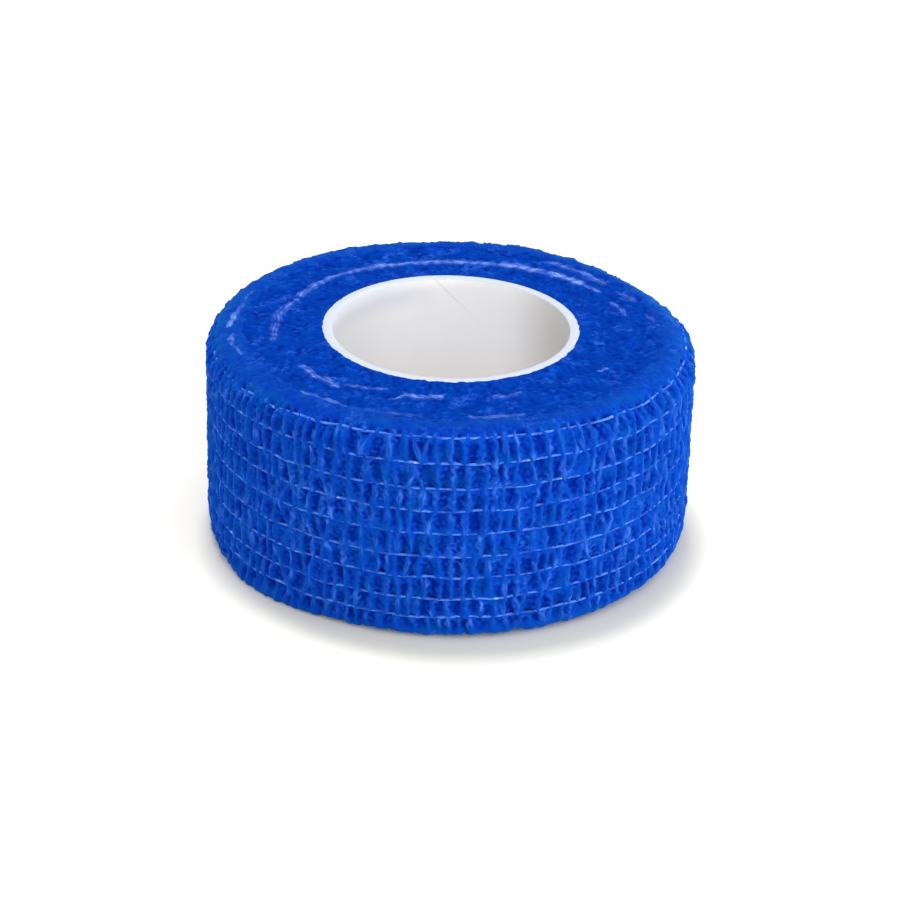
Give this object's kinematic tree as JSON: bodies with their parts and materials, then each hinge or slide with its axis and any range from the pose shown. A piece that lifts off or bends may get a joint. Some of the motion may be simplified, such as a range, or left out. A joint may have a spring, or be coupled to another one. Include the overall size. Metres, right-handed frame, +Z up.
{
  "type": "cohesive bandage roll",
  "caption": "Short roll of crinkled self-gripping crepe bandage with elastic threads, wound on an open white card core.",
  "frame": {"origin": "centre of the lower end face, on the surface that the roll stands on", "axes": "+Z up along the roll's axis; -Y is the side that the picture shows; the cloth's tail end is at the back"},
  "size_m": [0.0561, 0.0557, 0.025],
  "materials": {
    "crepe": "matt crinkled crepe with faintly glossy elastic threads",
    "card": "smooth white paperboard"
  },
  "bodies": {
    "root": {"bandage": "crepe", "core": "card"}
  },
  "joints": []
}
